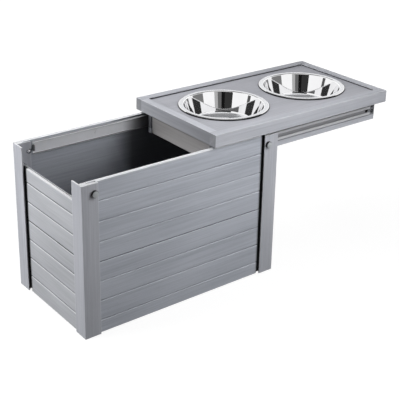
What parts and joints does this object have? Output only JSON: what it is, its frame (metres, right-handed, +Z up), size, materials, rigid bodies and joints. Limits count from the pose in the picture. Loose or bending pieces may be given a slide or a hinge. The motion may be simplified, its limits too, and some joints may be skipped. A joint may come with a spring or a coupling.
{
  "type": "raised pet diner with storage",
  "caption": "Raised dog feeder with two lift-out bowls in a tray that slides sideways on ball slides off a slatted storage cabinet.",
  "frame": {"origin": "centre of the cabinet's footprint, on the floor", "axes": "+X to the right, the way the tray slides out, +Y to the back, +Z up"},
  "size_m": [1.004, 0.352, 0.4495],
  "materials": {
    "composite_slats": "embossed composite board, matt, pale worn edges",
    "composite_tray": "embossed composite board, matt",
    "composite_inset": "embossed composite sheet, matt",
    "composite_apron": "composite board, matt",
    "composite_floor": "composite sheet, matt",
    "bolt_steel": "dark zinc",
    "bolt_cap": "smooth moulded, satin",
    "nut_chrome": "polished",
    "slide_steel": "zinc plated, satin",
    "cage_steel": "pressed strip",
    "ball_chrome": "polished",
    "bumper_rubber": "moulded",
    "bowl_stainless": "polished stainless steel"
  },
  "bodies": {
    "cabinet": {"post_front_left": "composite_slats", "post_front_right": "composite_slats", "post_back_left": "composite_slats", "post_back_right": "composite_slats", "front_wall_lower": "composite_slats", "front_wall_upper": "composite_slats", "back_wall_lower": "composite_slats", "back_wall_upper": "composite_slats", "left_wall_lower": "composite_slats", "left_wall_upper": "composite_slats", "right_wall_lower": "composite_slats", "right_wall_upper": "composite_slats", "floor_cleats": "composite_floor", "floor_panel": "composite_floor", "corner_bolts": "bolt_steel", "bolt_caps": "bolt_cap", "dome_nuts": "nut_chrome", "flat_nuts": "nut_chrome", "slide_fixed_front": "slide_steel", "slide_fixed_back": "slide_steel", "slide_bumpers": "bumper_rubber"},
    "tray": {"slide_moving_front": "slide_steel", "slide_moving_back": "slide_steel", "tray_rail_front": "composite_tray", "tray_rail_back": "composite_tray", "tray_rail_left": "composite_tray", "tray_rail_right": "composite_tray", "inset_panel": "composite_inset", "apron_front": "composite_apron", "apron_back": "composite_apron", "apron_left": "composite_apron", "apron_right": "composite_apron", "corner_blocks": "composite_apron"},
    "cage_front": {"ball_cage_front": "cage_steel", "slide_balls_front": "ball_chrome"},
    "cage_back": {"ball_cage_back": "cage_steel", "slide_balls_back": "ball_chrome"},
    "bowl_left": {"bowl_left": "bowl_stainless"},
    "bowl_right": {"bowl_right": "bowl_stainless"}
  },
  "joints": [
    {"name": "tray_slide", "type": "slide", "parent": "cabinet", "child": "tray", "axis": [1, 0, 0], "range_m": [-0.393, 0]},
    {"name": "cage_front_slide", "type": "slide", "parent": "cabinet", "child": "cage_front", "axis": [1, 0, 0], "range_m": [-0.1965, 0]},
    {"name": "cage_back_slide", "type": "slide", "parent": "cabinet", "child": "cage_back", "axis": [1, 0, 0], "range_m": [-0.1965, 0]},
    {"name": "bowl_left_lift", "type": "slide", "parent": "tray", "child": "bowl_left", "axis": [0, 0, 1], "range_m": [0, 0.12]},
    {"name": "bowl_right_lift", "type": "slide", "parent": "tray", "child": "bowl_right", "axis": [0, 0, 1], "range_m": [0, 0.12]}
  ],
  "couplings": [
    {"joint": "cage_front_slide", "follows": "tray_slide", "ratio": 0.5},
    {"joint": "cage_back_slide", "follows": "tray_slide", "ratio": 0.5}
  ]
}
